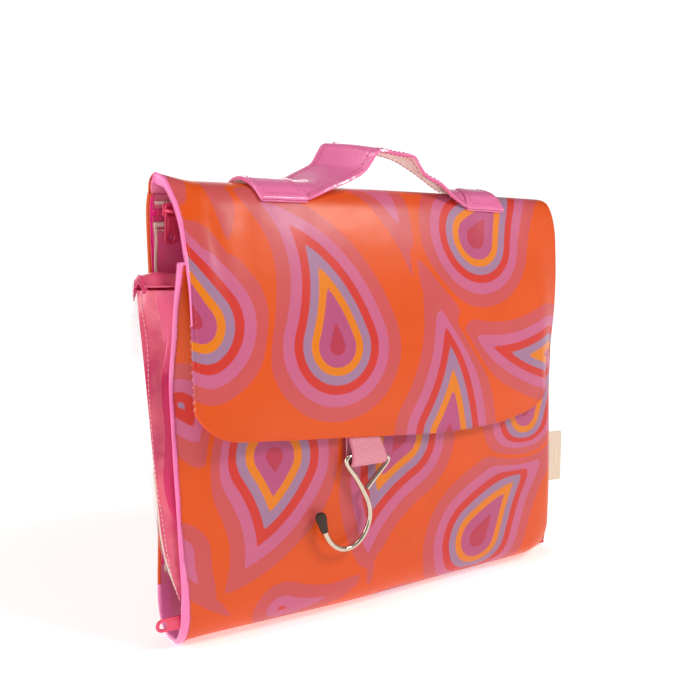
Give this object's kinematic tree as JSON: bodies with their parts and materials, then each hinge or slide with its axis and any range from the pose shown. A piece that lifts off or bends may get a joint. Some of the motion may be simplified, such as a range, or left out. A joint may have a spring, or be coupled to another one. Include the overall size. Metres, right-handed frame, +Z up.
{
  "type": "hanging toiletry bag",
  "caption": "Fold-up hanging toiletry bag of printed coated cotton with a closing flap, zipped clear pockets, strap handle and wire hook on a webbing loop.",
  "frame": {"origin": "middle of the base strip's underside, on the surface the closed bag stands on", "axes": "+X to the right seen from the front, +Y to the back, +Z up; the flap and the hook are on the -Y side"},
  "size_m": [0.3086, 0.0553, 0.2741],
  "materials": {
    "print": "glossy coated cotton, printed with nested drops",
    "lining": "glossy soft PVC, pink",
    "clear_pvc": "clear soft PVC",
    "zip_tape": "woven polyester tape, hot pink",
    "zip_coil": "nylon coil, hot pink",
    "zip_paint": "baked pink paint on zinc",
    "gusset": "salmon pink PVC",
    "label": "cream folded label, embossed lines",
    "webbing": "woven pink webbing",
    "hook_steel": "polished nickel",
    "rubber_tip": "moulded dark rubber",
    "strap_pvc": "glossy pink PVC strap with stitched edges"
  },
  "bodies": {
    "back": {"back_outer": "print", "back_lining": "lining", "upper_pocket_strip": "clear_pvc", "upper_zip_tape_top": "zip_tape", "upper_zip_tape_bottom": "zip_tape", "upper_zip_coil": "zip_coil", "upper_pocket_window": "clear_pvc", "handle_end_left": "strap_pvc", "handle_end_right": "strap_pvc"},
    "handle": {"handle_strap": "strap_pvc"},
    "flap": {"flap_outer": "print", "flap_lining": "lining", "webbing_sewn_end": "webbing"},
    "webbing": {"webbing_loop": "webbing"},
    "hook": {"wire_hook": "hook_steel", "hook_tip": "rubber_tip"},
    "base": {"base_outer": "print", "base_lining": "lining"},
    "front": {"front_outer": "print", "front_lining": "lining", "pouch_zip_tape_low": "zip_tape", "pouch_zip_tape_high": "zip_tape", "pouch_zip_coil": "zip_coil", "pouch_window": "clear_pvc", "pouch_gusset_left": "gusset", "pouch_gusset_right": "gusset", "pouch_gusset_end": "gusset", "side_label": "label"},
    "upper_slider": {"upper_slider": "zip_paint"},
    "upper_pull": {"upper_pull": "zip_paint"},
    "pouch_slider": {"pouch_slider": "zip_paint"},
    "pouch_pull": {"pouch_pull": "zip_paint"}
  },
  "joints": [
    {"name": "flap_lift", "type": "hinge", "parent": "back", "child": "flap", "pos_m": [0, -0.012, 0.236], "axis": [-1, 0, 0], "range_deg": [0, 165]},
    {"name": "base_fold", "type": "hinge", "parent": "back", "child": "base", "pos_m": [0, 0.0203, 0.0006], "axis": [1, 0, 0], "range_deg": [0, 90]},
    {"name": "front_fold", "type": "hinge", "parent": "base", "child": "front", "pos_m": [0, -0.0203, 0.0006], "axis": [1, 0, 0], "range_deg": [0, 90], "deforming": ["front_outer", "front_lining", "pouch_window", "pouch_gusset_left", "pouch_gusset_right", "pouch_gusset_end"]},
    {"name": "handle_rock", "type": "hinge", "parent": "back", "child": "handle", "pos_m": [0, 0.0035, 0.248], "axis": [-1, 0, 0], "range_deg": [-12, 35], "stiffness_Nm_per_rad": 0.01},
    {"name": "webbing_flex", "type": "hinge", "parent": "flap", "child": "webbing", "pos_m": [-0.0331, -0.0283, 0.1044], "axis": [-1, 0, 0], "range_deg": [0, 30]},
    {"name": "hook_swing", "type": "hinge", "parent": "webbing", "child": "hook", "pos_m": [-0.033, -0.031, 0.0945], "axis": [-0.9944, 0, 0.106], "range_deg": [0, 140]},
    {"name": "upper_zip_slide", "type": "slide", "parent": "back", "child": "upper_slider", "axis": [1, 0, 0], "range_m": [0, 0.256]},
    {"name": "upper_pull_swing", "type": "hinge", "parent": "upper_slider", "child": "upper_pull", "pos_m": [-0.129, 0.00927, 0.23525], "axis": [-1, 0, 0], "range_deg": [0, 30]},
    {"name": "pouch_zip_slide", "type": "slide", "parent": "front", "child": "pouch_slider", "axis": [1, 0, 0], "range_m": [0, 0.236]},
    {"name": "pouch_pull_swing", "type": "hinge", "parent": "pouch_slider", "child": "pouch_pull", "pos_m": [-0.13155, -0.0134, 0.01675], "axis": [0, 0.0314, -0.9995], "range_deg": [0, 165]}
  ],
  "couplings": [
    {"joint": "front_fold", "follows": "base_fold", "ratio": 1}
  ]
}
